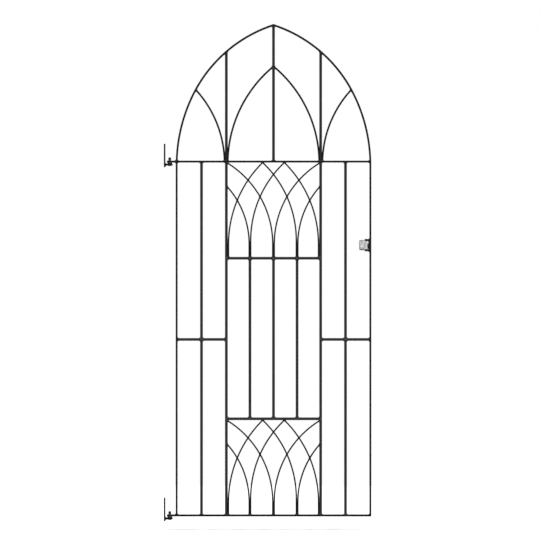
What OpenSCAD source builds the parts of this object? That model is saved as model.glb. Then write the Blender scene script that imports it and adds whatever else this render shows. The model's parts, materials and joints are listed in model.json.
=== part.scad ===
// Tall single garden gate with a pointed bow top: a frame of flat bar, round infill bars,
// two tracery panels of crossing arches, a sprung latch, and the wall hooks it hangs on.
// The gate stands in the XZ plane and is seen from -Y. X = 0 is its centre line and Z = 0 is
// the underside of the bottom rail, until from_wall() moves the origin to the lower wall plate.

/* [Gate] */
// Width over the two stiles
width = 838; // [760:1:1010]
// Height from the underside of the bottom rail to the top of the top rail
shoulder_h = 1524; // [1260:1:1840]
// Rise of the bow's apex above the top rail, to the middle of the bar
bow_rise = 581; // [480:1:700]
// How much larger the radius of the bow's foot is than that of a plain one-arc bow
bow_fullness = 42.5; // [10:0.5:60]
// Depth below the top of the top rail at which the foot of the bow would stand upright
bow_drop = 20; // [8:1:32]
// Angle above that level where the tighter arc of the bow takes over
bow_turn = 26; // [15:1:40]

/* [Bars] */
// Thickness of the flat bar of the frame and the bow
flat_t = 8; // [6:0.5:10]
// Depth of the flat bar of the frame and the bow, front to back
flat_w = 25; // [22:1:32]
// Diameter of the round bars
round_d = 12; // [10:0.5:14]
// Thickness of the flat bar of the arches above the top rail
arch_t = 8; // [5:0.5:10]
// Depth of the flat bar of those arches
arch_w = 12; // [12:0.5:16]
// Width of the bar of the tracery, seen from the front
tracery_t = 6.5; // [4:0.25:7]
// Depth of the bar of the tracery, whose two layers cross face to face
tracery_w = 6; // [4:0.25:6]
// How far the ends of arches and tracery are cut to reach around a round bar
saddle = 3.5; // [1:0.25:4]

/* [Layout] */
// Distance between the inner uprights, centre to centre
panel_w = 404; // [320:1:480]
// Height of the side rails above the underside of the bottom rail
side_rail_h = 758; // [600:1:950]
// Clear height of each tracery panel between its rails
tracery_h = 404; // [320:1:480]
// Length of the straight foot of the tracery bars
tracery_foot = 54; // [30:1:80]
// Length of the straight foot of those that cross the middle of the panel
tracery_middle_foot = 70; // [30:1:100]
// Distance from the middle of the panel to the heads that end under the rail
tracery_head = 46.5; // [20:0.5:60]
// How far under the corner of the panel the third tracery bar lands
tracery_corner = 3; // [0:0.5:20]
// Height at which the shortest tracery bar lands on the inner upright
tracery_landing = 298; // [220:1:318]
// Depth below the top of the top rail at which the arches above it would stand upright
arch_drop = 12; // [0:1:24]
// Rise of the lancet's apex above the top rail, to the middle of its bar
lancet_rise = 404; // [300:1:470]
// How far the feet of the lancet are cut into around the round bars beside them
lancet_lap = 4; // [0:0.25:4.5]
// Radius of the outer half arches, which lean out to the bow
side_arch_r = 466; // [380:1:540]
// How far the feet of the outer half arches are cut into around the round bars beside them
side_arch_lap = 2.25; // [0:0.25:4.5]

/* [Hinges] */
// Diameter of the hook pins
hook_d = 12; // [10:0.5:14]
// Radial clearance between a hook pin and the eye of the rail
hook_clear = 0.08; // [0.05:0.01:0.1]
// Length of each rail beyond the hinge stile
lug_l = 38; // [32:1:60]
// Distance from the wall to the axis of the hook pins
wall_gap = 25; // [24:1:40]
// Height of the collar that carries the rail above the hook's arm
collar_h = 5; // [3:0.5:8]
// Diameter of that collar
collar_d = 20; // [17:0.5:24]
// Thickness of the hook's arm
arm_t = 8; // [6:0.5:12]
// Length of pin that stands above the rail
pin_stand = 14; // [8:1:30]
// Height of the wall plate
plate_h = 100; // [90:1:140]
// Width of the wall plate
plate_w = 40; // [34:1:60]
// Thickness of the wall plate
plate_t = 6; // [5:0.5:6]
// Height of the plate's lower edge below the arm
plate_drop = 7; // [4:1:12]
// Diameter of the bolt holes in the wall plate
bolt_d = 11; // [9:0.5:13]
// Distance between the two bolt holes
bolt_pitch = 44; // [34:1:50]
// Height of the lower bolt hole above the top of the arm
bolt_rise = 28; // [22:1:32]

/* [Latch] */
// Height of the middle of the latch above the underside of the bottom rail
latch_h = 1162; // [900:1:1220]
// Thickness of the latch bracket's back, against the stile
bracket_back_t = 5; // [4:0.5:8]
// Thickness of the bracket's two ears
bracket_ear_t = 8; // [4:0.5:10]
// Clear height between the bracket's ears
bracket_gap = 36; // [30:1:48]
// Radius of the rounded ears about the latch pin
ear_r = 8; // [7.5:0.25:10]
// Length of the bracket's back below the lower ear
bracket_tail = 1; // [0:1:12]
// Diameter of the latch pin
latch_pin_d = 6; // [5:0.5:7]
// Radial clearance of the lever on the latch pin
latch_clear = 0.08; // [0.05:0.01:0.1]
// Thickness of the lever's plate
lever_t = 3; // [2:0.5:3.5]
// Outer radius of the lever's knuckle
knuckle_r = 6.5; // [5.5:0.25:7]
// Play of the knuckle between the ears, at each end
knuckle_play = 0.5; // [0.3:0.1:1]
// Height left free above the knuckle for the coil spring
spring_room = 10; // [6:0.5:14]
// Radius left free around the latch pin for the coil spring
spring_r = 4.9; // [4.6:0.1:5.4]
// Reach of the thumb plate from the latch pin
thumb_reach = 31; // [24:0.5:40]
// How far the thumb plate runs on past the latch pin, over the knuckle
thumb_lap = 4.5; // [0:0.25:4.5]
// Height of the thumb plate
thumb_h = 44; // [38:1:50]
// Corner radius of the thumb plate
thumb_corner = 5.5; // [3:0.5:10]
// Radius of the dish pressed into the thumb plate
dish_r = 7.5; // [4:0.5:8]
// Depth of that dish
dish_depth = 1.2; // [0.5:0.1:1.4]
// Gap between the stile and the lever's hook, for the keep
keep_gap = 9; // [6:0.5:14]
// Thickness of the lever's hook
hook_t = 4; // [3:0.5:6]
// Height of the lever's hook
hook_h = 20; // [12:1:28]

/* [Hidden] */
$fn = 64;
arc_fn = 1440;
far = 4000;
round_r = round_d / 2;
stile_x = width / 2 - flat_t / 2;
panel_x = panel_w / 2;
bay = panel_w / 4;
side_bar_x = (panel_x + stile_x) / 2;
under_top_rail = shoulder_h - flat_t;
lower_centre_rail_z = flat_t + tracery_h + round_r;
upper_centre_rail_z = under_top_rail - tracery_h - round_r;
pin_x = -width / 2 - lug_l + flat_w / 2;
wall_x = pin_x - wall_gap;
plate_low = -collar_h - arm_t - plate_drop;
origin_z = plate_low + plate_h / 2;
latch_pin_x = width / 2 - flat_t - bracket_back_t - ear_r;
steel_black = [0.06, 0.06, 0.065];
zinc = [0.72, 0.73, 0.75];

// Radius of an arc that starts upright and ends dx across and dz up from its foot.
function arc_r(dx, dz) = (dx * dx + dz * dz) / (2 * dx);

// Left half of the bow, measured from the centre line and the top of the top rail: a foot arc, and from
// bow_turn on a tighter arc, tangent to it, that reaches the apex.
bow_dir = [-cos(bow_turn), sin(bow_turn)];
bow_foot_r = arc_r(stile_x, bow_rise + bow_drop) + bow_fullness;
bow_foot_c = [bow_foot_r - stile_x, -bow_drop];
bow_apex = [0, bow_rise] - bow_foot_c;
bow_step = (bow_foot_r * bow_foot_r - bow_apex * bow_apex) / (2 * (bow_foot_r - bow_apex * bow_dir));
bow_top_r = bow_foot_r - bow_step;
bow_top_c = bow_foot_c + bow_step * bow_dir;

// Moves the gate so that the origin is the middle of the lower wall plate's back face.
module from_wall() {
    translate([-wall_x, 0, -origin_z]) children();
}

module black_bar() {
    color(steel_black) from_wall() children();
}

module bright_zinc() {
    color(zinc) from_wall() children();
}

// An outline drawn in X and Z, made depth thick about the middle plane.
module upstand(depth) {
    rotate([90, 0, 0]) linear_extrude(height = depth, center = true) children();
}

module ring(r, t) {
    difference() {
        circle(r = r + t / 2, $fn = arc_fn);
        circle(r = r - t / 2, $fn = arc_fn);
    }
}

module upright(x, z0, z1) {
    translate([x, 0, z0]) cylinder(r = round_r, h = z1 - z0);
}

module level(x0, x1, z) {
    translate([x0, 0, z]) rotate([0, 90, 0]) cylinder(r = round_r, h = x1 - x0);
}

// Rails: flat bar laid flat, run out past the hinge stile to a rounded eye.
module rail(z) {
    translate([0, 0, z]) linear_extrude(height = flat_t) difference() {
        union() {
            translate([pin_x, -flat_w / 2]) square([width / 2 - pin_x, flat_w]);
            translate([pin_x, 0]) circle(d = flat_w);
        }
        translate([pin_x, 0]) circle(r = hook_d / 2 + hook_clear);
    }
}

module bottom_rail() {
    black_bar() rail(0);
}

module top_rail() {
    black_bar() rail(under_top_rail);
}

// Stiles: flat bar on edge, butted between the rails.
module stile(x) {
    translate([x - flat_t / 2, -flat_w / 2, flat_t]) cube([flat_t, flat_w, under_top_rail - flat_t]);
}

module hinge_stile() {
    black_bar() stile(-stile_x);
}

module latch_stile() {
    black_bar() stile(stile_x);
}

module inner_upright(side) {
    black_bar() upright(side * panel_x, flat_t, under_top_rail);
}

// Side rails: round bar from the stile's face to a saddle cut around the inner upright.
module side_rail(side) {
    black_bar() mirror([side < 0 ? 1 : 0, 0, 0]) difference() {
        level(panel_x, stile_x - flat_t / 2, side_rail_h);
        upright(panel_x, 0, shoulder_h);
    }
}

// Side bars: round bar from a rail's flat face to a saddle cut around the side rail.
module side_bar(side, z0, z1) {
    black_bar() difference() {
        upright(side * side_bar_x, z0, z1);
        level(-width, width, side_rail_h);
    }
}

module lower_side_bar(side) {
    side_bar(side, flat_t, side_rail_h);
}

module upper_side_bar(side) {
    side_bar(side, side_rail_h, under_top_rail);
}

module centre_rail(z) {
    black_bar() difference() {
        level(-panel_x, panel_x, z);
        for (side = [-1, 1]) upright(side * panel_x, 0, shoulder_h);
    }
}

module centre_bar(x) {
    black_bar() difference() {
        upright(x, lower_centre_rail_z, upper_centre_rail_z);
        for (z = [lower_centre_rail_z, upper_centre_rail_z]) level(-width, width, z);
    }
}

// One tracery bar: a straight foot, then an arc that leans over to pass through [end_x, end_z]. It runs on
// by one saddle past each edge of the panel, to be cut to the bars there.
module tracery_bar(foot_x, foot_h, end_x, end_z) {
    r = arc_r(end_x - foot_x, end_z - foot_h);
    reach = panel_x - round_r + saddle;
    translate([foot_x - tracery_t / 2, -saddle]) square([tracery_t, foot_h + saddle]);
    intersection() {
        translate([foot_x + r, foot_h]) ring(r, tracery_t);
        translate([-reach, foot_h]) square([2 * reach, tracery_h + saddle - foot_h]);
    }
}

// The four bars of a panel that lean to the right. The first two end under the rail, to either side of the
// panel's middle, the third in the corner, and the last part way up the inner upright.
module tracery_family() {
    inside = panel_x - round_r;
    half = tracery_t / 2;
    tracery_bar(-inside + half, tracery_foot, -tracery_head, tracery_h);
    tracery_bar(-bay + half, tracery_middle_foot, tracery_head, tracery_h);
    tracery_bar(half, tracery_foot, inside, tracery_h - tracery_corner);
    tracery_bar(bay + half, tracery_foot, inside, tracery_landing);
}

// The bars around the two panels, which the ends of the tracery are cut to.
module panel_frame() {
    for (side = [-1, 1]) upright(side * panel_x, 0, shoulder_h);
    for (z = [lower_centre_rail_z, upper_centre_rail_z]) level(-panel_x, panel_x, z);
    for (z = [0, under_top_rail]) translate([-panel_x, -flat_w / 2, z]) cube([panel_w, flat_w, flat_t]);
}

module tracery_front(z) {
    black_bar() difference() {
        translate([0, -tracery_w / 2, z]) upstand(tracery_w) tracery_family();
        panel_frame();
    }
}

module tracery_back(z) {
    black_bar() difference() {
        translate([0, tracery_w / 2, z]) upstand(tracery_w) mirror([1, 0]) tracery_family();
        panel_frame();
    }
}

// Bow: flat bar on edge, in two halves mitred at the apex and butted on the top rail.
module bow_outline() {
    intersection() {
        translate(bow_foot_c) ring(bow_foot_r, flat_t);
        below_bow_turn();
        translate([-far, 0]) square(far);
    }
    difference() {
        intersection() {
            translate(bow_top_c) ring(bow_top_r, flat_t);
            translate([-far, 0]) square(far);
        }
        below_bow_turn();
    }
}

// Everything on the foot arc's side of the line where the upper arc takes over.
module below_bow_turn() {
    polygon([bow_foot_c, bow_foot_c + far * bow_dir, bow_foot_c - [far, 0]]);
}

module bow(side) {
    black_bar() translate([0, 0, shoulder_h]) mirror([side > 0 ? 1 : 0, 0, 0]) upstand(flat_w) bow_outline();
}

// The space inside the upper arc of one half of the bow, which the bars that reach it are cut to.
module under_bow(side) {
    translate([0, 0, shoulder_h]) mirror([side > 0 ? 1 : 0, 0, 0]) upstand(2 * flat_w)
        translate(bow_top_c) circle(r = bow_top_r - flat_t / 2, $fn = arc_fn);
}

// Lancet: two arcs on edge, each cut to the arch bar beside its foot and to the middle bar at its head.
module lancet_arch(side) {
    foot_x = panel_x - round_r - arch_t / 2 + lancet_lap;
    r = arc_r(foot_x, lancet_rise + arch_drop);
    black_bar() mirror([side > 0 ? 1 : 0, 0, 0]) difference() {
        translate([0, 0, shoulder_h]) upstand(arch_w) intersection() {
            translate([r - foot_x, -arch_drop]) ring(r, arch_t);
            translate([-far - round_r + saddle, 0]) square(far);
        }
        for (x = [-panel_x, 0]) upright(x, under_top_rail, shoulder_h + bow_rise);
    }
}

// Side arches: each cut to the outer side of the arch bar beside its foot, and leaning out to the bow.
module side_arch(side) {
    foot_x = panel_x + round_r + arch_t / 2 - side_arch_lap;
    black_bar() mirror([side > 0 ? 1 : 0, 0, 0]) difference() {
        translate([0, 0, shoulder_h]) upstand(arch_w) intersection() {
            translate([-foot_x - side_arch_r, -arch_drop]) ring(side_arch_r, arch_t);
            translate(bow_top_c) circle(r = bow_top_r - flat_t / 2, $fn = arc_fn);
            translate([-far, 0]) square(far);
        }
        upright(-panel_x, under_top_rail, shoulder_h + bow_rise);
    }
}

module arch_bar(side) {
    black_bar() intersection() {
        upright(side * panel_x, shoulder_h, shoulder_h + bow_rise);
        under_bow(side);
    }
}

module middle_arch_bar() {
    black_bar() intersection() {
        upright(0, shoulder_h, shoulder_h + bow_rise);
        under_bow(-1);
        under_bow(1);
    }
}

// Wall hook: a plate for two bolts, with an arm welded across it that carries the pin.
module wall_plate(rail_z) {
    arm_z = rail_z - collar_h - arm_t;
    black_bar() difference() {
        union() {
            translate([wall_x, -plate_w / 2, rail_z + plate_low]) cube([plate_t, plate_w, plate_h]);
            translate([wall_x + plate_t, -flat_w / 2, arm_z]) cube([wall_gap - plate_t, flat_w, arm_t]);
            translate([pin_x, 0, arm_z]) cylinder(d = flat_w, h = arm_t);
        }
        translate([pin_x, 0, arm_z - arm_t]) cylinder(d = hook_d, h = 3 * arm_t);
        for (z = [bolt_rise, bolt_rise + bolt_pitch])
            translate([wall_x - plate_t, 0, rail_z - collar_h + z]) rotate([0, 90, 0])
                cylinder(d = bolt_d, h = 3 * plate_t);
    }
}

// The hook's pin, with the collar that the rail turns on and a chamfered tip.
module hook_pin(rail_z) {
    tip = hook_d / 6;
    top = flat_t + pin_stand;
    black_bar() translate([pin_x, 0, rail_z]) rotate_extrude() polygon([
        [0, -collar_h - arm_t],
        [hook_d / 2, -collar_h - arm_t],
        [hook_d / 2, -collar_h],
        [collar_d / 2, -collar_h],
        [collar_d / 2, 0],
        [hook_d / 2, 0],
        [hook_d / 2, top - tip],
        [hook_d / 2 - tip, top],
        [0, top]
    ]);
}

// Latch bracket: a back welded to the inner face of the latch stile, and two rounded ears.
module ear(z) {
    translate([latch_pin_x, 0, z]) linear_extrude(height = bracket_ear_t) difference() {
        union() {
            circle(r = ear_r);
            translate([0, -ear_r]) square([ear_r, 2 * ear_r]);
        }
        circle(d = latch_pin_d);
    }
}

module latch_bracket() {
    half = bracket_gap / 2 + bracket_ear_t;
    black_bar() {
        translate([latch_pin_x + ear_r, -flat_w / 2, latch_h - half - bracket_tail])
            cube([bracket_back_t, flat_w, 2 * half + bracket_tail]);
        ear(latch_h - half);
        ear(latch_h + bracket_gap / 2);
    }
}

// A rivet through both ears, with a domed head at each end.
module latch_pin() {
    half = bracket_gap / 2 + bracket_ear_t;
    head_r = 0.85 * latch_pin_d;
    head_h = 0.4 * latch_pin_d;
    dome_r = (head_r * head_r + head_h * head_h) / (2 * head_h);
    bright_zinc() translate([latch_pin_x, 0, latch_h]) {
        translate([0, 0, -half]) cylinder(d = latch_pin_d, h = 2 * half);
        for (end = [0, 1]) mirror([0, 0, end]) translate([0, 0, half]) intersection() {
            translate([0, 0, head_h - dome_r]) sphere(r = dome_r);
            cylinder(r = 2 * head_r, h = head_h);
        }
    }
}

// Thumb plate outline in X and Z about the pin: full height beyond the ears, lower between them and on
// over the knuckle.
module thumb_outline() {
    start = -ear_r - 1;
    low_h = bracket_gap - 2 * knuckle_play;
    translate([start, -low_h / 2]) square([thumb_lap - start, low_h]);
    translate([-thumb_reach + thumb_corner, -thumb_h / 2]) square([thumb_reach + start - thumb_corner, thumb_h]);
    translate([-thumb_reach, -thumb_h / 2 + thumb_corner]) square([thumb_corner, thumb_h - 2 * thumb_corner]);
    for (side = [-1, 1])
        translate([-thumb_reach + thumb_corner, side * (thumb_h / 2 - thumb_corner)]) circle(r = thumb_corner);
}

// Plan of the hook: an arm back past the stile and a nose across behind it, with a ramp on the nose.
module hook_plan() {
    nose_y = flat_w / 2 + keep_gap;
    nose_x = ear_r + bracket_back_t + flat_t;
    flat_end = 1;
    polygon([
        [-hook_t / 2, 0],
        [hook_t / 2, 0],
        [hook_t / 2, nose_y],
        [nose_x, nose_y],
        [nose_x, nose_y + flat_end],
        [nose_x - hook_t, nose_y + hook_t],
        [-hook_t / 2, nose_y + hook_t]
    ]);
}

// Lever: a thumb plate on a knuckle that turns on the pin, with the hook on the knuckle's far side and
// room for the coil spring above it.
module latch_lever() {
    dish_ball = (dish_r * dish_r + dish_depth * dish_depth) / (2 * dish_depth);
    low = -bracket_gap / 2 + knuckle_play;
    knuckle_h = bracket_gap - 2 * knuckle_play - spring_room;
    bright_zinc() translate([latch_pin_x, 0, latch_h]) difference() {
        union() {
            translate([0, -knuckle_r + lever_t / 2, 0]) upstand(lever_t) thumb_outline();
            translate([0, 0, low]) cylinder(r = knuckle_r, h = knuckle_h);
            translate([0, 0, low + (knuckle_h - hook_h) / 2]) linear_extrude(height = hook_h) hook_plan();
        }
        translate([0, 0, -bracket_gap]) cylinder(r = latch_pin_d / 2 + latch_clear, h = 2 * bracket_gap);
        translate([0, 0, low + knuckle_h]) cylinder(r = spring_r, h = bracket_gap);
        translate([-(thumb_reach + ear_r + 1) / 2, -knuckle_r - dish_ball + dish_depth, 0]) sphere(r = dish_ball);
    }
}

wall_plate(0);  // lower_wall_plate
hook_pin(0);  // lower_hook_pin
wall_plate(under_top_rail);  // upper_wall_plate
hook_pin(under_top_rail);  // upper_hook_pin
bottom_rail();
top_rail();
hinge_stile();
latch_stile();
inner_upright(-1);  // left_inner_upright
inner_upright(1);  // right_inner_upright
side_rail(-1);  // left_side_rail
side_rail(1);  // right_side_rail
lower_side_bar(-1);  // left_lower_bar
upper_side_bar(-1);  // left_upper_bar
lower_side_bar(1);  // right_lower_bar
upper_side_bar(1);  // right_upper_bar
centre_rail(lower_centre_rail_z);  // lower_centre_rail
centre_rail(upper_centre_rail_z);  // upper_centre_rail
centre_bar(-bay);  // left_centre_bar
centre_bar(0);  // middle_centre_bar
centre_bar(bay);  // right_centre_bar
tracery_front(flat_t);  // lower_tracery_front
tracery_back(flat_t);  // lower_tracery_back
tracery_front(upper_centre_rail_z + round_r);  // upper_tracery_front
tracery_back(upper_centre_rail_z + round_r);  // upper_tracery_back
bow(-1);  // left_bow
bow(1);  // right_bow
lancet_arch(-1);  // left_lancet_arch
lancet_arch(1);  // right_lancet_arch
side_arch(-1);  // left_side_arch
side_arch(1);  // right_side_arch
arch_bar(-1);  // left_arch_bar
middle_arch_bar();
arch_bar(1);  // right_arch_bar
latch_bracket();
latch_pin();
latch_lever();
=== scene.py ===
import json
import math
import random

import bpy
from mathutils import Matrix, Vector
from mathutils.bvhtree import BVHTree


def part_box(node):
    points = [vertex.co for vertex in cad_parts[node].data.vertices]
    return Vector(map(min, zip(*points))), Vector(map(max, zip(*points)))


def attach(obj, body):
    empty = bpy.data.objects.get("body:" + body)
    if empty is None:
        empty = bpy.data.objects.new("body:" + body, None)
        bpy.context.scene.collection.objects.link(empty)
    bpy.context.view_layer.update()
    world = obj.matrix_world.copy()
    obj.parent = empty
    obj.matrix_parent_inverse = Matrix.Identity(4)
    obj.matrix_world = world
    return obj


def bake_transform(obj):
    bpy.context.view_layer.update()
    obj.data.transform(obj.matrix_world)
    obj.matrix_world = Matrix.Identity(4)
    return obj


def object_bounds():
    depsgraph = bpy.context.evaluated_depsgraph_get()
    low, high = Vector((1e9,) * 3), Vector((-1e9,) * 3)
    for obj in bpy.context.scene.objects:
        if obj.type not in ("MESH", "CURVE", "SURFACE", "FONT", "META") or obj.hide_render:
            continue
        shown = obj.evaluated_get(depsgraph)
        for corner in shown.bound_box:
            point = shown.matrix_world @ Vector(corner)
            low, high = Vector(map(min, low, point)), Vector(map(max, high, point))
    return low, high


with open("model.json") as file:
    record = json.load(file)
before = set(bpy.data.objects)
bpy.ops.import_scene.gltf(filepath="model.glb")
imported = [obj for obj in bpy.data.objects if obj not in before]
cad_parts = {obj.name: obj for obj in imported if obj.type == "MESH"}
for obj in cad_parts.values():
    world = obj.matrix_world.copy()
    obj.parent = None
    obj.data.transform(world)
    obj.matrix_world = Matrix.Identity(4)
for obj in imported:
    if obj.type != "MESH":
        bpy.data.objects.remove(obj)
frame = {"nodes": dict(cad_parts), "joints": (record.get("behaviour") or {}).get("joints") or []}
cad_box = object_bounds()


# ---- Bottom and top rail
# Two lengths of flat bar laid flat, each drilled past the hinge stile for the eye it turns on. They are
# mild steel under a satin black coat, sprayed on after welding, which all of the leaf shares: it has a
# faint orange peel, runs a little thin over the arrises and holds some dust where it faces up.

class Wire:
    """A value on its way through a finish. A sum on it adds its Math nodes."""

    def __init__(self, finish, socket):
        self.finish = finish
        self.socket = socket

    def step(self, operation, first, second):
        return self.finish.node("ShaderNodeMath", {"operation": operation}, {0: first, 1: second})

    def __add__(self, other):
        return self.step("ADD", self, other)

    def __radd__(self, other):
        return self.step("ADD", other, self)

    def __sub__(self, other):
        return self.step("SUBTRACT", self, other)

    def __rsub__(self, other):
        return self.step("SUBTRACT", other, self)

    def __mul__(self, other):
        return self.step("MULTIPLY", self, other)

    def __rmul__(self, other):
        return self.step("MULTIPLY", other, self)

    def __pow__(self, other):
        return self.step("POWER", self, other)

    def __rpow__(self, other):
        return self.step("POWER", other, self)


SOFT_SAMPLES = 4
ARRIS_FROM = 0.004
ARRIS_FULL = 0.12
LEVEL_FROM = 0.75


class Finish:
    """The nodes of one material or world."""

    def __init__(self, owner):
        owner.use_nodes = True
        self.owner = owner
        self.tree = owner.node_tree
        self.tree.nodes.clear()

    def node(self, kind, settings=None, sockets=None, output=0):
        """Makes one node: its settings first, then the values or links of its sockets."""
        made = self.tree.nodes.new(kind)
        for name, value in (settings or {}).items():
            setattr(made, name, value)
        for name, value in (sockets or {}).items():
            if isinstance(value, Wire):
                self.tree.links.new(value.socket, made.inputs[name])
            else:
                made.inputs[name].default_value = value
        return Wire(self, made.outputs[output]) if made.outputs else None

    def blend(self, amount, first, second):
        """The first colour, going over to the second as amount rises from 0 to 1."""
        settings = {"data_type": "RGBA"}
        return self.node("ShaderNodeMix", settings, {0: amount, 6: first, 7: second}, output=2)

    def clamp(self, value, low, high):
        """0 where value is at or under low, 1 at or over high, and smooth between."""
        settings = {"interpolation_type": "SMOOTHSTEP"}
        return self.node("ShaderNodeMapRange", settings, {0: value, 1: low, 2: high})

    def cloud(self, size, stretch=(1, 1, 1), detail=2):
        """Noise whose patches are about size across, drawn out by stretch along X, Y and Z."""
        place = self.node("ShaderNodeTexCoord", output="Object")
        scale = [1 / (size * s) for s in stretch]
        place = self.node("ShaderNodeVectorMath", {"operation": "MULTIPLY"}, {0: place, 1: scale})
        return self.node("ShaderNodeTexNoise", None, {"Vector": place, "Scale": 1, "Detail": detail})

    def softened(self, radius):
        """The surface's direction, rounded over at its arrises."""
        return self.node("ShaderNodeBevel", {"samples": SOFT_SAMPLES}, {"Radius": radius})

    def arris(self, radius):
        """0 on a plain face, rising to 1 at an arris."""
        flat = self.node("ShaderNodeNewGeometry", output="Normal")
        pair = {0: flat, 1: self.softened(radius)}
        turn = self.node("ShaderNodeVectorMath", {"operation": "DOT_PRODUCT"}, pair, output="Value")
        return self.clamp(1 - turn, ARRIS_FROM, ARRIS_FULL)

    def facing_up(self):
        """1 where the surface faces straight up, and 0 where it slopes or stands."""
        direction = self.node("ShaderNodeNewGeometry", output="Normal")
        upward = self.node("ShaderNodeSeparateXYZ", None, {0: direction}, output="Z")
        return self.clamp(upward, LEVEL_FROM, 1)

    def place(self, axis):
        """How far along one axis a point of the surface lies."""
        place = self.node("ShaderNodeTexCoord", output="Object")
        return self.node("ShaderNodeSeparateXYZ", None, {0: place}, output=axis)

    def surface(self, sockets):
        """Joins the values to the shader and gives the finished material."""
        shader = self.node("ShaderNodeBsdfPrincipled", None, sockets)
        self.node("ShaderNodeOutputMaterial", None, {"Surface": shader})
        return self.owner


THIN_COAT = (0.80, 0.80, 0.83)
THICK_COAT = (1.20, 1.20, 1.24)
COAT_PATCH = 0.05
STREAK = 0.004
STREAK_HIGH = 0.6
STREAK_GLOSS = 0.12
RUBBED = (0.090, 0.088, 0.085, 1)
RUB_PATCH = 0.012
RUB_FROM = 0.44
RUB_FULL = 0.62
RUB_MOST = 0.7
RUB_GLOSS = 0.08
DUST = (0.075, 0.070, 0.062, 1)
DUST_PATCH = 0.02
DUST_FROM = 0.35
DUST_FULL = 0.70
DUST_MOST = 0.5
DUST_GLOSS = 0.2
PEEL = 0.0018
PEEL_HIGH = 0.00003
PEEL_STRENGTH = 0.6
COAT_EDGE = 0.0006


def toned(tint, tone):
    """A colour that is tone times as bright as its tint."""
    return (*(tone * part for part in tint), 1)


def coat_layers(coat, tone, gloss, sheen, grain, edge):
    """The values of a satin black coat: its tone, 0 to 1, and the grain that draws it out along a bar."""
    thick = coat.cloud(COAT_PATCH, grain, detail=4)
    streaks = coat.cloud(STREAK, grain, detail=3)
    worn = coat.arris(edge) * coat.clamp(coat.cloud(RUB_PATCH, detail=5), RUB_FROM, RUB_FULL)
    dust = coat.facing_up() * coat.clamp(coat.cloud(DUST_PATCH, detail=5), DUST_FROM, DUST_FULL)
    colour = coat.blend(thick, toned(THIN_COAT, tone), toned(THICK_COAT, tone))
    colour = coat.blend(worn * RUB_MOST, colour, RUBBED)
    colour = coat.blend(dust * DUST_MOST, colour, DUST)
    bump = {
        "Height": coat.cloud(PEEL, detail=1) + streaks * STREAK_HIGH,
        "Distance": PEEL_HIGH,
        "Strength": PEEL_STRENGTH,
        "Normal": coat.softened(edge),
    }
    return {
        "Base Color": colour,
        "Roughness": gloss + streaks * STREAK_GLOSS + dust * DUST_GLOSS - worn * RUB_GLOSS,
        "Specular IOR Level": sheen,
        "Normal": coat.node("ShaderNodeBump", None, bump),
    }


def black_coat(name, tone, gloss, sheen, grain=(1, 1, 1), edge=COAT_EDGE):
    """A satin black coat as a finished material."""
    coat = Finish(bpy.data.materials.new(name))
    return coat.surface(coat_layers(coat, tone, gloss, sheen, grain, edge))


def paint(material, *nodes):
    """Gives a finished material to some of the bars."""
    for name in nodes:
        frame["nodes"][name].material_slots[0].material = material


FLAT_TONE = 0.003
FLAT_GLOSS = 0.42
FLAT_SHEEN = 0.10
LENGTHWISE_X = (12, 1, 1)
LENGTHWISE_Z = (1, 1, 12)

paint(black_coat("rail_coat", FLAT_TONE, FLAT_GLOSS, FLAT_SHEEN, LENGTHWISE_X), "bottom_rail", "top_rail")


# ---- Hinge stile and latch stile
# The same flat bar on edge, butted between the rails and welded across its faces. On the outside of the
# latch stile the weld is ground flush, so that the gate shuts close to the other post. Elsewhere the run is
# left as laid, a row of overlapping ripples that the coat has filled a little.

STEEL_WELD = 0.0026
STAND_OFF = 0.35
RIPPLE = 0.0016
RIPPLE_HIGH = 0.07
RIPPLE_LEAN = 0.7
SWELL = 0.08
SHAKE = 0.02
BLUNT = 0.02
RINGS_A_RIPPLE = 4
WELD_SIDES = 8
RING_POINTS = 48
BOX_POINTS = 64
SEAM_POINTS = 12
BOX_REACH = 4
REACH = 0.03
FEWEST_RIPPLES = 2
EASINGS = 3
TINY = 1e-9


def skin(*nodes):
    """The surface of some of the bars, to lay weld on."""
    points = []
    faces = []
    for name in nodes:
        mesh = frame["nodes"][name].data
        first = len(points)
        points += [v.co.copy() for v in mesh.vertices]
        faces += [[first + i for i in face.vertices] for face in mesh.polygons]
    return BVHTree.FromPolygons(points, faces)


def seat(outline, along, nodes, lift):
    """Moves the points of an outline along a bar to where they meet the nodes, less the lift."""
    surface = skin(*nodes)
    seated = []
    for point in outline:
        met = surface.ray_cast(point - REACH * along, along, 2 * REACH)[0]
        if met is None:
            met = surface.find_nearest(point)[0]
        seated.append(met - lift * along)
    return seated


def even_steps(path, step, closed):
    """The same path with points one step apart, and a whole number of ripples."""
    ends = path + [path[0]] if closed else path
    lengths = [(b - a).length for a, b in zip(ends, ends[1:])]
    total = sum(lengths)
    ripples = max(FEWEST_RIPPLES, round(total / (step * RINGS_A_RIPPLE)))
    count = ripples * RINGS_A_RIPPLE
    spaced = []
    walked = 0
    edge = 0
    for i in range(count if closed else count + 1):
        wanted = total * i / count
        while edge < len(lengths) - 1 and walked + lengths[edge] < wanted:
            walked += lengths[edge]
            edge += 1
        share = (wanted - walked) / max(lengths[edge], TINY)
        spaced.append(ends[edge].lerp(ends[edge + 1], min(share, 1)))
    return spaced


def relaxed(path, closed):
    """The same path with its kinks eased."""
    for _ in range(EASINGS):
        eased = []
        for i, point in enumerate(path):
            before = path[i - 1] if i or closed else point
            after = path[(i + 1) % len(path)] if i + 1 < len(path) or closed else point
            eased.append((before + 2 * point + after) / 4)
        path = eased
    return path


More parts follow.
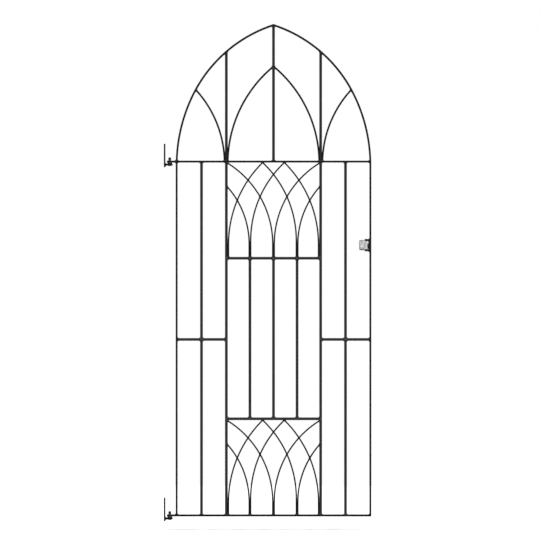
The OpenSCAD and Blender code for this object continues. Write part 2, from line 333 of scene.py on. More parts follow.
class Weld:
    """The weld of one group of joints: runs laid by one hand, gathered into one mesh."""

    def __init__(self, seed):
        self.hand = random.Random(seed)
        self.points = []
        self.faces = []

    def lay(self, path, size, up, closed=False):
        """One run of ripples, size from its middle to its skin, along the path."""
        path = relaxed(even_steps(path, RIPPLE / RINGS_A_RIPPLE, closed), closed)
        count = len(path)
        step = (path[1] - path[0]).length
        first = len(self.points)
        drift = self.hand.random()
        for i, point in enumerate(path):
            before = path[i - 1] if i or closed else point
            after = path[(i + 1) % count] if i + 1 < count or closed else point
            tangent = (after - before).normalized()
            side = tangent.cross(up).normalized()
            out = side.cross(tangent)
            turn = math.tau * (i / RINGS_A_RIPPLE)
            ripple = RIPPLE_HIGH * math.sin(turn + RIPPLE_LEAN * math.sin(turn))
            swell = SWELL * math.sin(math.tau * (drift + 2 * i / count))
            radius = size * (1 + ripple + swell + self.hand.uniform(-SHAKE, SHAKE))
            if not closed:
                from_end = min(i, count - 1 - i) * step
                short = max(0, 1 - from_end / size)
                radius *= math.sqrt(max(BLUNT, 1 - short * short))
            for k in range(WELD_SIDES):
                angle = math.tau * k / WELD_SIDES
                self.points.append(point + radius * (math.cos(angle) * side + math.sin(angle) * out))
        for i in range(count if closed else count - 1):
            near = first + i * WELD_SIDES
            far = first + (i + 1) % count * WELD_SIDES
            for k in range(WELD_SIDES):
                j = (k + 1) % WELD_SIDES
                self.faces.append((near + k, near + j, far + j, far + k))
        if not closed:
            self.faces.append(tuple(first + k for k in reversed(range(WELD_SIDES))))
            last = first + (count - 1) * WELD_SIDES
            self.faces.append(tuple(last + k for k in range(WELD_SIDES)))

    def round_joint(self, end, along, bar_r, nodes, size=STEEL_WELD):
        """A run around the end of a round bar that meets the nodes."""
        across = along.orthogonal().normalized()
        other = along.cross(across)
        corner = STAND_OFF * size
        radius = bar_r + corner
        ring = []
        for i in range(RING_POINTS):
            angle = math.tau * i / RING_POINTS
            ring.append(end + radius * (math.cos(angle) * across + math.sin(angle) * other))
        self.lay(seat(ring, along, nodes, corner), size, -along, closed=True)

    def flat_joint(self, end, along, wide, half_wide, half_deep, nodes, size=STEEL_WELD):
        """A run around the end of a flat bar: half_wide along wide, and half_deep along Y."""
        deep = Vector((0, 1, 0))
        corner = STAND_OFF * size
        ring = []
        for i in range(BOX_POINTS):
            angle = math.tau * i / BOX_POINTS
            # a rounded rectangle, as the point of a box nearest to a far ring, pushed out by the corner
            far = Vector((math.cos(angle), math.sin(angle)))
            u = max(-half_wide, min(half_wide, BOX_REACH * half_wide * far.x))
            v = max(-half_deep, min(half_deep, BOX_REACH * half_deep * far.y))
            ring.append(end + (u + corner * far.x) * wide + (v + corner * far.y) * deep)
        self.lay(seat(ring, along, nodes, corner), size, -along, closed=True)

    def seam(self, start, stop, along, nodes, size=STEEL_WELD):
        """A straight run from start to stop, on the nodes that it meets along the bar."""
        line = [start.lerp(stop, i / SEAM_POINTS) for i in range(SEAM_POINTS + 1)]
        self.lay(seat(line, along, nodes, STAND_OFF * size), size, -along)

    def done(self, name, material, body="gate_leaf"):
        """Makes the mesh, and has it move with its body."""
        mesh = bpy.data.meshes.new(name)
        mesh.from_pydata(self.points, [], self.faces)
        mesh.shade_smooth()
        mesh.materials.append(material)
        piece = bpy.data.objects.new(name, mesh)
        bpy.context.scene.collection.objects.link(piece)
        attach(piece, body)
        return piece


UP = Vector((0, 0, 1))
DOWN = -UP
RIGHT = Vector((1, 0, 0))
LEFT = -RIGHT

WELD_TONE = 0.010
WELD_GLOSS = 0.22
WELD_SHEEN = 0.5
WELD_EDGE = 0.0002
SEAM_END = 0.6

weld_coat = black_coat("weld_coat", WELD_TONE, WELD_GLOSS, WELD_SHEEN, edge=WELD_EDGE)
stile_coat = black_coat("stile_coat", FLAT_TONE, FLAT_GLOSS, FLAT_SHEEN, LENGTHWISE_Z)
paint(stile_coat, "hinge_stile", "latch_stile")


def face_seam(weld, face_x, out, end_z, along, deep, nodes):
    """A run across the face of an upright flat bar where it meets the nodes."""
    x = face_x + STAND_OFF * STEEL_WELD * out
    inset = deep - SEAM_END * STEEL_WELD
    weld.seam(Vector((x, -inset, end_z)), Vector((x, inset, end_z)), along, nodes)


weld = Weld(seed=1)
for stile in ("hinge_stile", "latch_stile"):
    low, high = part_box(stile)
    open_faces = [(low.x, -1), (high.x, 1)] if stile == "hinge_stile" else [(low.x, -1)]
    for face_x, out in open_faces:
        face_seam(weld, face_x, out, low.z, DOWN, high.y, ["bottom_rail"])
        face_seam(weld, face_x, out, high.z, UP, high.y, ["top_rail"])
weld.done("stile_welds", weld_coat)


# ---- Inner uprights
# Two round bars from rail to rail, which frame the middle of the gate. They are bright drawn bar, and their
# coat is painted a little lighter than on flat bar, as a painted sheen for the light that a round side
# catches.
# A run of weld goes right round each end.

# the round bars' black, painted lighter as a painted sheen for the light on their round sides
ROUND_TONE_PAINTED_SHEEN = 0.008
ROUND_GLOSS = 0.40
ROUND_SHEEN = 0.22

upright_coat = black_coat("upright_coat", ROUND_TONE_PAINTED_SHEEN, ROUND_GLOSS, ROUND_SHEEN, LENGTHWISE_Z)
uprights = ("left_inner_upright", "right_inner_upright")
paint(upright_coat, *uprights)

low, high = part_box(uprights[0])
bar_r = high.y
weld = Weld(seed=2)
for name in uprights:
    low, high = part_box(name)
    middle = (low + high) / 2
    weld.round_joint(Vector((middle.x, 0, low.z)), DOWN, bar_r, ["bottom_rail"])
    weld.round_joint(Vector((middle.x, 0, high.z)), UP, bar_r, ["top_rail"])
weld.done("inner_upright_welds", weld_coat)


# ---- Side rails and side bars
# One short rail of round bar on each side, from stile to inner upright, with a bar above it and one below.
# The ends that meet a round bar are sawn to a saddle and welded all round it.

# the side rails take the round bars' lighter tone, a painted sheen
level_coat = black_coat("side_rail_coat", ROUND_TONE_PAINTED_SHEEN, ROUND_GLOSS, ROUND_SHEEN, LENGTHWISE_X)
weld = Weld(seed=3)
for side, inward, stile in (("left", RIGHT, "hinge_stile"), ("right", LEFT, "latch_stile")):
    rail = side + "_side_rail"
    low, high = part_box(rail)
    rail_z = (low.z + high.z) / 2
    stile_x, upright_x = (low.x, high.x) if side == "left" else (high.x, low.x)
    weld.round_joint(Vector((stile_x, 0, rail_z)), -inward, bar_r, [stile])
    weld.round_joint(Vector((upright_x, 0, rail_z)), inward, bar_r, [side + "_inner_upright"])
    for bar, along, level in (("lower", DOWN, "bottom_rail"), ("upper", UP, "top_rail")):
        low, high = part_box(f"{side}_{bar}_bar")
        middle_x = (low.x + high.x) / 2
        far_z, near_z = (low.z, high.z) if along == DOWN else (high.z, low.z)
        weld.round_joint(Vector((middle_x, 0, far_z)), along, bar_r, [level])
        weld.round_joint(Vector((middle_x, 0, near_z)), -along, bar_r, [rail])
        paint(upright_coat, f"{side}_{bar}_bar")
    paint(level_coat, rail)
weld.done("side_bar_welds", weld_coat)


# ---- Centre rails and centre bars
# Two rails of round bar between the inner uprights, with three bars between them, one to each quarter of
# the width. Every end is a saddle on another round bar, deep enough for the weld to run down its cheeks.

paint(level_coat, "lower_centre_rail", "upper_centre_rail")
weld = Weld(seed=4)
for name in ("lower_centre_rail", "upper_centre_rail"):
    low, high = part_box(name)
    rail_z = (low.z + high.z) / 2
    weld.round_joint(Vector((low.x, 0, rail_z)), LEFT, bar_r, ["left_inner_upright"])
    weld.round_joint(Vector((high.x, 0, rail_z)), RIGHT, bar_r, ["right_inner_upright"])
for name in ("left_centre_bar", "middle_centre_bar", "right_centre_bar"):
    low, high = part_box(name)
    middle_x = (low.x + high.x) / 2
    weld.round_joint(Vector((middle_x, 0, low.z)), DOWN, bar_r, ["lower_centre_rail"])
    weld.round_joint(Vector((middle_x, 0, high.z)), UP, bar_r, ["upper_centre_rail"])
    paint(upright_coat, name)
weld.done("centre_bar_welds", weld_coat)


# ---- Tracery
# Sixteen bent lengths of small flat bar in two panels. Four lean to the right in the front layer and four
# to the left behind them, so that they cross as pointed arches. Each foot and head is welded to the bar it
# lands on, and each crossing is tacked from the front and from the back.

TRACERY_TONE = 0.003
TRACERY_SHEEN = 0.10
TRACERY_EDGE = 0.0005
TRACERY_WIDE = 0.0065
TRACERY_FOOT = 0.054
TRACERY_MIDDLE_FOOT = 0.070
TRACERY_HEAD = 0.0465
TRACERY_CORNER = 0.003
TRACERY_LANDING = 0.298
TRACERY_WELD = 0.0017
TACK_LENGTH = 0.006
TACK_SIZE = 0.8
TACK_STAND_OFF = 0.3
TACK_POINTS = 8
HALVINGS = 40

weld = Weld(seed=5)


class Bent:
    """The middle line of one tracery bar that leans to the right: a straight foot, then an arc."""

    def __init__(self, foot_x, foot_h, end_x, end_z):
        across = end_x - foot_x
        rise = end_z - foot_h
        self.radius = (across * across + rise * rise) / (2 * across)
        self.foot_x = foot_x
        self.foot_h = foot_h
        self.end_x = end_x
        self.end_z = end_z

    def x(self, z):
        rise = max(0, z - self.foot_h)
        return self.foot_x + self.radius - math.sqrt(self.radius * self.radius - rise * rise)

    def direction(self, z):
        lean = math.asin(max(0, z - self.foot_h) / self.radius)
        return Vector((math.sin(lean), 0, math.cos(lean)))


def crossing(front, back, height):
    """The height where a bar of the front layer crosses one of the mirrored back layer, if it does."""
    def gap(z):
        return front.x(z) + back.x(z)
    low = 0
    high = min(height, front.end_z, back.end_z)
    if gap(low) >= 0 or gap(high) <= 0:
        return None
    for _ in range(HALVINGS):
        middle = (low + high) / 2
        low, high = (middle, high) if gap(middle) < 0 else (low, middle)
    return low


def tracery_panel(level, foot_node, head_node):
    """Lays the weld of one panel, whose two layers are named for its level."""
    low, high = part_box(level + "_tracery_front")
    half_deep = (high.y - low.y) / 2
    half = TRACERY_WIDE / 2
    foot_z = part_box(foot_node)[1].z
    head_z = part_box(head_node)[0].z
    height = head_z - foot_z
    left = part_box("left_inner_upright")[1].x
    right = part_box("right_inner_upright")[0].x
    centre = (left + right) / 2
    inside = (right - left) / 2
    bay = (inside + bar_r) / 2
    family = [
        Bent(-inside + half, TRACERY_FOOT, -TRACERY_HEAD, height),
        Bent(-bay + half, TRACERY_MIDDLE_FOOT, TRACERY_HEAD, height),
        Bent(half, TRACERY_FOOT, inside, height - TRACERY_CORNER),
        Bent(bay + half, TRACERY_FOOT, inside, TRACERY_LANDING),
    ]
    for layer, lean in ((-half_deep, 1), (half_deep, -1)):
        for bar in family:
            foot = Vector((centre + lean * bar.foot_x, layer, foot_z))
            weld.flat_joint(foot, DOWN, RIGHT, half, half_deep, [foot_node], TRACERY_WELD)
            head = Vector((centre + lean * bar.end_x, layer, foot_z + bar.end_z))
            along = bar.direction(bar.end_z)
            along.x *= lean
            wide = Vector((along.z, 0, -along.x))
            upright = "right_inner_upright" if lean > 0 else "left_inner_upright"
            landing = [head_node] if bar.end_x < inside else [upright, head_node]
            weld.flat_joint(head, along, wide, half, half_deep, landing, TRACERY_WELD)
    for front in family:
        for back in family:
            z = crossing(front, back, height)
            if z is None:
                continue
            point = Vector((centre + front.x(z), 0, foot_z + z))
            tack(point, front.direction(z), half, -1)
            behind = back.direction(z)
            behind.x *= -1
            tack(point, behind, half, 1)


def tack(point, along, half, facing):
    """Two short runs beside a crossing bar, on the face of the bar behind it."""
    wide = Vector((along.z, 0, -along.x))
    up = Vector((0, facing, 0))
    clear = TACK_STAND_OFF * TRACERY_WELD
    reach = TACK_LENGTH / 2 * along
    for side in (-1, 1):
        middle = point + side * (half + clear) * wide + clear * up
        start = middle - reach
        line = [start.lerp(middle + reach, i / TACK_POINTS) for i in range(TACK_POINTS + 1)]
        weld.lay(line, TACK_SIZE * TRACERY_WELD, up)


tracery_panel("lower", "bottom_rail", "lower_centre_rail")
tracery_panel("upper", "upper_centre_rail", "top_rail")
weld.done("tracery_welds", weld_coat)
tracery_coat = black_coat("tracery_coat", TRACERY_TONE, FLAT_GLOSS, TRACERY_SHEEN, edge=TRACERY_EDGE)
for level in ("lower", "upper"):
    paint(tracery_coat, level + "_tracery_front", level + "_tracery_back")


# ---- Bow
# Two lengths of flat bar, each rolled to a curve that tightens towards the top, mitred and welded at the
# point and butted on the top rail. The point is dressed smooth, and only the feet show their weld.

paint(black_coat("bow_coat", FLAT_TONE, FLAT_GLOSS, FLAT_SHEEN), "left_bow", "right_bow")
flat_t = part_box("hinge_stile")[1].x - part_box("hinge_stile")[0].x
weld = Weld(seed=6)
low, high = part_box("left_bow")
for face_x, out in ((low.x, -1), (low.x + flat_t, 1)):
    face_seam(weld, face_x, out, low.z, DOWN, high.y, ["top_rail"])
low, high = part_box("right_bow")
face_seam(weld, high.x - flat_t, -1, low.z, DOWN, high.y, ["top_rail"])
weld.done("bow_welds", weld_coat)


# ---- Lancet, side arches and arch bars
# The filling of the bow: a lancet and two half arches of narrow flat bar, and three round bars. The arches
# are cut to the round bars that their feet stand beside, each such group shares one run of weld, and their
# heads are cut to the bar that they meet.

ARCH_DROP = 0.012
LANCET_RISE = 0.404
LANCET_LAP = 0.004
SIDE_ARCH_R = 0.466
SIDE_ARCH_LAP = 0.00225
FOOT_WELD = 0.0018
HEAD_WELD = 0.0022
TOUCHING = 0.0004
LEAN_STEP = 0.0005

weld = Weld(seed=7)


def arch_head(foot, lean_to, radius, node):
    """Where an arc that springs below its foot and leans to one side meets a node, and its direction."""
    surface = skin(node)
    lean = math.asin(ARCH_DROP / radius)
    while lean < math.pi / 2:
        lean += LEAN_STEP
        x = foot.x + lean_to * radius * (1 - math.cos(lean))
        head = Vector((x, 0, foot.z + radius * math.sin(lean) - ARCH_DROP))
        if surface.find_nearest(head)[3] < TOUCHING:
            break
    return head, Vector((lean_to * math.sin(lean), 0, math.cos(lean)))


middle_low, middle_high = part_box("middle_arch_bar")
middle_x = (middle_low.x + middle_high.x) / 2
half_t = flat_t / 2
for side, outward in (("left", -1), ("right", 1)):
    bar_low, bar_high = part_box(side + "_arch_bar")
    bar_x = (bar_low.x + bar_high.x) / 2
    half_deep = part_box(side + "_lancet_arch")[1].y
    shoulder_z = bar_low.z
    lancet_x = bar_x - outward * (bar_r + half_t - LANCET_LAP)
    side_x = bar_x + outward * (bar_r + half_t - SIDE_ARCH_LAP)
    lancet_half = abs(lancet_x - middle_x)
    lancet_r = (lancet_half ** 2 + (LANCET_RISE + ARCH_DROP) ** 2) / (2 * lancet_half)

    group = Vector(((lancet_x + side_x) / 2, 0, shoulder_z))
    group_half = abs(lancet_x - side_x) / 2 + half_t
    weld.flat_joint(group, DOWN, RIGHT, group_half, half_deep, ["top_rail"], FOOT_WELD)
    weld.round_joint(Vector((bar_x, 0, bar_high.z)), UP, bar_r, [side + "_bow"], HEAD_WELD)
    for foot_x, lean_to, radius, node in (
        (lancet_x, -outward, lancet_r, "middle_arch_bar"),
        (side_x, outward, SIDE_ARCH_R, side + "_bow"),
    ):
        head, along = arch_head(Vector((foot_x, 0, shoulder_z)), lean_to, radius, node)
        wide = Vector((along.z, 0, -along.x))
        weld.flat_joint(head, along, wide, half_t, half_deep, [node], HEAD_WELD)
    paint(upright_coat, side + "_arch_bar")

weld.round_joint(Vector((middle_x, 0, middle_low.z)), DOWN, bar_r, ["top_rail"])
weld.round_joint(Vector((middle_x, 0, middle_high.z)), UP, bar_r, ["left_bow", "right_bow"], HEAD_WELD)
weld.done("arch_welds", weld_coat)
paint(upright_coat, "middle_arch_bar")
arch_coat = black_coat("arch_coat", FLAT_TONE, FLAT_GLOSS, FLAT_SHEEN)
for side in ("left", "right"):
    paint(arch_coat, side + "_lancet_arch", side + "_side_arch")


# ---- Latch bracket
# A back and two ears of black coated plate, welded across its top and bottom edges to the inside of the
# latch stile. It holds the rivet that the lever turns on.

BRACKET_TONE = 0.006
BRACKET_GLOSS = 0.36
BELOW_BRACKET = 0.3
ABOVE_BRACKET = 0.1

paint(black_coat("bracket_coat", BRACKET_TONE, BRACKET_GLOSS, FLAT_SHEEN), "latch_bracket")
weld = Weld(seed=8)
bracket_low, bracket_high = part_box("latch_bracket")
inset = bracket_high.y - STEEL_WELD
for edge_z in (bracket_low.z - BELOW_BRACKET * STEEL_WELD, bracket_high.z + ABOVE_BRACKET * STEEL_WELD):
    start = Vector((bracket_high.x, -inset, edge_z))
    stop = Vector((bracket_high.x, inset, edge_z))
    weld.seam(start, stop, RIGHT, ["latch_stile"])
weld.done("latch_bracket_welds", weld_coat)


# ---- Latch lever and rivet
# The lever is pressed from steel plate and bright zinc plated: silvery, with fine lines from the press,
# scuffs, and clouds that are partly the plating's own and partly painted reflection. It has painted
# highlight spots, and painted shade along its arrises, round the thumb plate's free edges and in a band
# along its lower edge.
# The rivet is turned from bar, with both ends spread over the bracket's ears.

LEVER_ZINC = 0.28
LEVER_GLOSS = 0.30
RIVET_ZINC = 0.36
RIVET_GLOSS = 0.26
CLEAN_ZINC = (1.00, 1.01, 1.03)
BRIGHT_ZINC = (2.30, 2.30, 2.32)
# the colour of the painted highlight spots
GLINT_WHITE = (2.90, 2.90, 2.90)
SCUFFED_AND_SHADED_ZINC = (0.28, 0.28, 0.29)
CLOUD = 0.006
CLOUD_DRAWN = (1, 1, 1.3)
CLOUD_SHARE = 0.7
CLOUD_FROM = 0.38
CLOUD_FULL = 0.62
CLOUD_MIDDLE = 0.5
CLOUD_GLOSS = 0.14
SPANGLE = 0.0011
SPANGLE_DRAWN = (1, 1, 1.6)
SPANGLE_SHARE = 0.15
SPANGLE_HIGH = 0.4
PRESS_LINE = 0.0006
LINE_DRAWN = (1, 1, 30)
LINE_SHARE = 0.15
LINE_HIGH = 0.5
GLINT = 0.0055
GLINT_DRAWN = (1, 1, 1.7)
GLINT_FROM = 0.55
GLINT_FULL = 0.70
SCUFF = 0.003
SCUFF_DRAWN = (0.4, 1, 5)
SCUFF_FROM = 0.56
SCUFF_FULL = 0.66
SCUFF_DULL = 0.2
SCUFF_GLOSS = 0.12
ZINC_EDGE = 0.0006
ARRIS_SHADE = 0.5
LEAST_DARKENING = 0.7
UNEVEN_DARKENING = 0.5
ZINC_BUMP_HIGH = 0.00004
ZINC_BUMP = 0.5
PLATE_CORNER = 0.0055
RIM_WIDE = 0.0048
RIM_SHADE = 0.85
LOW_SHADE_SOLID = 0.0036
LOW_SHADE_TOP = 0.0068
WANDER = 0.003


def zinc_plate(name, tone, gloss, rim=None):
    """Bright zinc plate with painted highlight spots and painted shade on its arrises: the tone of its
    clean face, its gloss, and what says where its rim of painted shade is.
    """
    zinc = Finish(bpy.data.materials.new(name))
    clouds = zinc.cloud(CLOUD, CLOUD_DRAWN, detail=3)
    spangle = zinc.cloud(SPANGLE, SPANGLE_DRAWN, detail=2)
    lines = zinc.cloud(PRESS_LINE, LINE_DRAWN, detail=2)
    painted_glints = zinc.clamp(zinc.cloud(GLINT, GLINT_DRAWN, detail=5), GLINT_FROM, GLINT_FULL)
    scuffs = zinc.clamp(zinc.cloud(SCUFF, SCUFF_DRAWN, detail=4), SCUFF_FROM, SCUFF_FULL)
    # the clouds are partly the plating's own and partly painted reflection
    mixed = clouds * CLOUD_SHARE + spangle * SPANGLE_SHARE + lines * LINE_SHARE
    mottle = zinc.clamp(mixed, CLOUD_FROM, CLOUD_FULL)
    colour = zinc.blend(mottle, toned(CLEAN_ZINC, tone), toned(BRIGHT_ZINC, tone))
    # painted highlights: soft near-white spots laid into the zinc's colour
    colour = zinc.blend(painted_glints, colour, toned(GLINT_WHITE, tone))
    # painted shade along the arrises, added to the real dulling of the scuffs
    shade_and_scuffs = zinc.arris(ZINC_EDGE) * ARRIS_SHADE + scuffs * SCUFF_DULL
    if rim:
        shade_and_scuffs = shade_and_scuffs + rim(zinc, clouds)
    uneven = LEAST_DARKENING + spangle * UNEVEN_DARKENING
    colour = zinc.blend(zinc.clamp(shade_and_scuffs, 0, 1) * uneven, colour, toned(SCUFFED_AND_SHADED_ZINC, tone))
    bump = {
        "Height": lines * LINE_HIGH + clouds + spangle * SPANGLE_HIGH,
        "Distance": ZINC_BUMP_HIGH,
        "Strength": ZINC_BUMP,
        "Normal": zinc.softened(ZINC_EDGE),
    }
    return zinc.surface({
        "Base Color": colour,
        "Metallic": 1,
        "Roughness": gloss + clouds * CLOUD_GLOSS + scuffs * SCUFF_GLOSS,
        "Normal": zinc.node("ShaderNodeBump", None, bump),
    })


lever_low, lever_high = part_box("latch_lever")


def thumb_edge_shade(zinc, clouds):
    """Painted shade: 0 inside the thumb plate, rising to 1 at its free edges and in a band along its lower
    edge.
    """
    middle_z = (lever_low.z + lever_high.z) / 2
    half_high = (lever_high.z - lever_low.z) / 2
    beside = lever_low.x + PLATE_CORNER - zinc.place("X")
    height = zinc.node("ShaderNodeMath", {"operation": "ABSOLUTE"}, {0: zinc.place("Z") - middle_z})
    beyond = height - (half_high - PLATE_CORNER)
    from_corner_x = zinc.node("ShaderNodeMath", {"operation": "MAXIMUM"}, {0: beside, 1: 0})
    from_corner_z = zinc.node("ShaderNodeMath", {"operation": "MAXIMUM"}, {0: beyond, 1: 0})
    reach = (from_corner_x * from_corner_x + from_corner_z * from_corner_z) ** 0.5
    wander = (clouds - CLOUD_MIDDLE) * WANDER
    rim = zinc.clamp(reach + wander, PLATE_CORNER - RIM_WIDE, PLATE_CORNER)
    # a band of painted shade along the lower edge
    from_low = zinc.place("Z") - lever_low.z - wander
    return rim * RIM_SHADE + (1 - zinc.clamp(from_low, LOW_SHADE_SOLID, LOW_SHADE_TOP))


paint(zinc_plate("lever_zinc", LEVER_ZINC, LEVER_GLOSS, thumb_edge_shade), "latch_lever")
paint(zinc_plate("rivet_zinc", RIVET_ZINC, RIVET_GLOSS), "latch_pin")


# ---- Latch spring
# A torsion spring of zinc plated wire, wound around the rivet above the knuckle. One leg lies behind the
# hook's arm and the other against the back of the bracket, so that it pulls the hook shut.

WIRE_R = 0.0005
WIRE_SIDES = 8
WIRE_STEP = 0.00055
COIL_R = 0.004
COIL_LOW = 0.008
COIL_HIGH = 0.01745
COIL_TURNS = 6.75
COIL_STEPS = 300
SPRING_ZINC = 0.22
LEVER_LEG = [
    (-0.0025, 0.0090, -0.0030),
    (-0.0025, 0.0090, 0.0054),
    (-0.0012, 0.0086, 0.0063),
    (0.0015, 0.0076, 0.0074),
    (0.0034, 0.0054, 0.0080),
    (0.0040, 0.0026, 0.0080),
]
BRACKET_LEG = [
    (0.0035, 0.0040, COIL_HIGH),
    (0.0063, 0.0044, COIL_HIGH),
    (0.0073, 0.0056, COIL_HIGH),
    (0.0075, 0.0072, COIL_HIGH),
]

pin = Vector(next(joint for joint in frame["joints"] if joint["name"] == "latch_turn")["pos_m"])
wire = [Vector(point) for point in LEVER_LEG]
for i in range(COIL_STEPS + 1):
    share = i / COIL_STEPS
    angle = -math.tau * COIL_TURNS * share
    rise = COIL_LOW + share * (COIL_HIGH - COIL_LOW)
    wire.append(Vector((COIL_R * math.cos(angle), COIL_R * math.sin(angle), rise)))
wire += [Vector(point) for point in BRACKET_LEG]
wire = relaxed(even_steps([pin + point for point in wire], WIRE_STEP, closed=False), closed=False)

points = []
faces = []
across = wire[0].orthogonal()
for i, point in enumerate(wire):
    tangent = (wire[min(i + 1, len(wire) - 1)] - wire[max(i - 1, 0)]).normalized()
    across = (across - across.dot(tangent) * tangent).normalized()
    other = tangent.cross(across)
    for k in range(WIRE_SIDES):
        angle = math.tau * k / WIRE_SIDES
        points.append(point + WIRE_R * (math.cos(angle) * across + math.sin(angle) * other))
        if i:
            here = i * WIRE_SIDES
            beside = (k + 1) % WIRE_SIDES
            faces.append((here - WIRE_SIDES + k, here - WIRE_SIDES + beside, here + beside, here + k))
faces.append(tuple(reversed(range(WIRE_SIDES))))
faces.append(tuple(range(len(points) - WIRE_SIDES, len(points))))
spring_mesh = bpy.data.meshes.new("latch_spring")
spring_mesh.from_pydata(points, [], faces)
spring_mesh.shade_smooth()
spring_mesh.materials.append(zinc_plate("spring_zinc", SPRING_ZINC, RIVET_GLOSS))
spring = bpy.data.objects.new("latch_spring", spring_mesh)
bpy.context.scene.collection.objects.link(spring)
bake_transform(spring)


# ---- Wall hooks
# Two plates bolted to the wall, each with an arm of flat bar welded across it and a turned pin that is let
# into the arm and welded underneath. The coat is rubbed to steel where the rail's eye turns on the pin and
# rests on its collar.

STEEL = (0.30, 0.29, 0.28, 1)
STEEL_GLOSS = 0.34
TURN_PATCH = 0.003
TURN_DRAWN = (1, 1, 0.3)
TURN_FROM = 0.30
TURN_FULL = 0.55
TURN_SOFT = 0.0008
TURN_ABOVE = 0.0016
PLUG_WELD = 0.0016
PAST_ARM = 0.3

plate_coat = black_coat("wall_plate_coat", FLAT_TONE, FLAT_GLOSS, FLAT_SHEEN)
weld = Weld(seed=9)
for level, rail in (("lower", "bottom_rail"), ("upper", "top_rail")):
    plate = level + "_wall_plate"
    hook_pin = level + "_hook_pin"
    pin_low, pin_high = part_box(hook_pin)
    rail_low, rail_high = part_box(rail)

    coat = Finish(bpy.data.materials.new(level + "_pin_coat"))
    # the pins take the round bars' lighter tone, a painted sheen
    layers = coat_layers(coat, ROUND_TONE_PAINTED_SHEEN, ROUND_GLOSS, ROUND_SHEEN, (1, 1, 1), COAT_EDGE)
    height = coat.place("Z")
    above = coat.clamp(height, rail_low.z - 2 * TURN_SOFT, rail_low.z - TURN_SOFT)
    below = 1 - coat.clamp(height, rail_high.z + TURN_ABOVE, rail_high.z + TURN_ABOVE + TURN_SOFT)
    patches = coat.clamp(coat.cloud(TURN_PATCH, TURN_DRAWN, detail=4), TURN_FROM, TURN_FULL)
    rubbed = above * below * patches
    layers["Base Color"] = coat.blend(rubbed, layers["Base Color"], STEEL)
    layers["Metallic"] = rubbed
    layers["Roughness"] = layers["Roughness"] + rubbed * (STEEL_GLOSS - ROUND_GLOSS)
    paint(coat.surface(layers), hook_pin)
    paint(plate_coat, plate)

    middle_x = (pin_low.x + pin_high.x) / 2
    collar_r = (pin_high.x - pin_low.x) / 2
    arm_surface = skin(plate)
    arm_x = middle_x - collar_r - STEEL_WELD
    arm_top = arm_surface.ray_cast(Vector((arm_x, 0, rail_low.z)), DOWN)[0].z
    inset = rail_high.y - STEEL_WELD
    for edge_z in (arm_top + PAST_ARM * STEEL_WELD, pin_low.z - PAST_ARM * STEEL_WELD):
        start = Vector((arm_x, -inset, edge_z))
        stop = Vector((arm_x, inset, edge_z))
        weld.seam(start, stop, LEFT, [plate])
    weld.round_joint(Vector((middle_x, 0, pin_low.z)), UP, bar_r, [plate, hook_pin], PLUG_WELD)
weld.done("wall_hook_welds", weld_coat, body="wall_hooks")


# ---- Floor
# A plain pale disc that the gate stands over. It is white to the camera and to anything that mirrors it,
# and a little greyer as a source of light, and takes the gate's shadow.

FLOOR_R = 4
FLOOR_Z = -0.09
FLOOR_SIDES = 96
FLOOR_PATCH = 0.4
FLOOR_DULL = (0.78, 0.78, 0.78, 1)
FLOOR_LIT = (0.80, 0.80, 0.80, 1)
WHITE = (1, 1, 1, 1)

cad_low, cad_high = (Vector(corner) for corner in cad_box)
floor_x = (cad_low.x + cad_high.x) / 2
ring = []
for i in range(FLOOR_SIDES):
    angle = math.tau * i / FLOOR_SIDES
    ring.append((floor_x + FLOOR_R * math.cos(angle), FLOOR_R * math.sin(angle), FLOOR_Z))
floor_mesh = bpy.data.meshes.new("floor")
floor_mesh.from_pydata(ring, [], [tuple(range(FLOOR_SIDES))])
floor = bpy.data.objects.new("floor", floor_mesh)
bpy.context.scene.collection.objects.link(floor)


def seen(finish):
    """1 for the camera's rays and for those that a mirror or glass sends on, and 0 for light."""
    direct = finish.node("ShaderNodeLightPath", output="Is Camera Ray")
    mirrored = finish.node("ShaderNodeLightPath", output="Is Glossy Ray")
    through = finish.node("ShaderNodeLightPath", output="Is Transmission Ray")
    return finish.clamp(direct + mirrored + through, 0, 1)


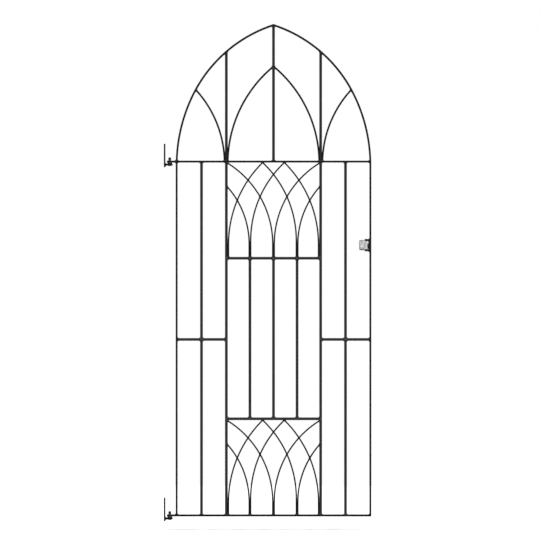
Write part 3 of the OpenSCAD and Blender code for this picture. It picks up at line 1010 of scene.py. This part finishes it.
ground = Finish(bpy.data.materials.new("pale_floor"))
mottle = ground.cloud(FLOOR_PATCH, detail=3)
lit = ground.blend(mottle, FLOOR_DULL, FLOOR_LIT)
shade = ground.blend(seen(ground), lit, WHITE)
floor_mesh.materials.append(ground.surface({"Base Color": shade, "Roughness": 1, "Specular IOR Level": 0}))


# ---- Studio light
# Plain soft daylight: a pale sky all round, a large key lamp high on the left, a weaker one on the right
# and one from behind, which together light a colour about as it is written.

SKY_LIGHT = 0.55
LAMPS = [
    # name, elevation and azimuth in degrees, strength, apparent width in degrees
    ("key", 52, -35, 1.8, 20),
    ("fill", 35, 40, 0.7, 30),
    ("back", 45, 170, 0.5, 30),
]
LAMP_AWAY = 5

scene = bpy.context.scene
world = bpy.data.worlds.new("studio")
scene.world = world
sky = Finish(world)
strength = SKY_LIGHT + seen(sky) * (1 - SKY_LIGHT)
backing = sky.node("ShaderNodeBackground", None, {"Color": WHITE, "Strength": strength})
sky.node("ShaderNodeOutputWorld", None, {"Surface": backing})
for name, elevation, azimuth, energy, width in LAMPS:
    data = bpy.data.lights.new(name, "SUN")
    data.energy = energy
    data.angle = math.radians(width)
    rise = math.radians(elevation)
    turn = math.radians(azimuth)
    toward = Vector((math.sin(turn) * math.cos(rise), -math.cos(turn) * math.cos(rise), math.sin(rise)))
    lamp = bpy.data.objects.new(name, data)
    lamp.location = LAMP_AWAY * toward
    lamp.rotation_euler = toward.to_track_quat("Z", "Y").to_euler()
    scene.collection.objects.link(lamp)


# ---- Camera
# Straight in front of the gate and far off, so that its bars stay parallel. At the gate it takes in
# PICTURE_HIGH metres, both in height and in width.

LENS = 300
SENSOR = 36
PICTURE_HIGH = 2.314
MIDDLE_X = -0.015
MIDDLE_Z = 1.0555
SEES_TO = 200

camera_data = bpy.data.cameras.new("camera")
camera_data.lens = LENS
camera_data.sensor_width = SENSOR
camera_data.clip_end = SEES_TO
camera = bpy.data.objects.new("camera", camera_data)
camera_x = (middle_low.x + middle_high.x) / 2 + MIDDLE_X
camera_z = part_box("bottom_rail")[0].z + MIDDLE_Z
camera.location = (camera_x, -PICTURE_HIGH * LENS / SENSOR, camera_z)
camera.rotation_euler = (math.pi / 2, 0, 0)
scene.collection.objects.link(camera)
scene.camera = camera
scene.view_settings.view_transform = "Standard"
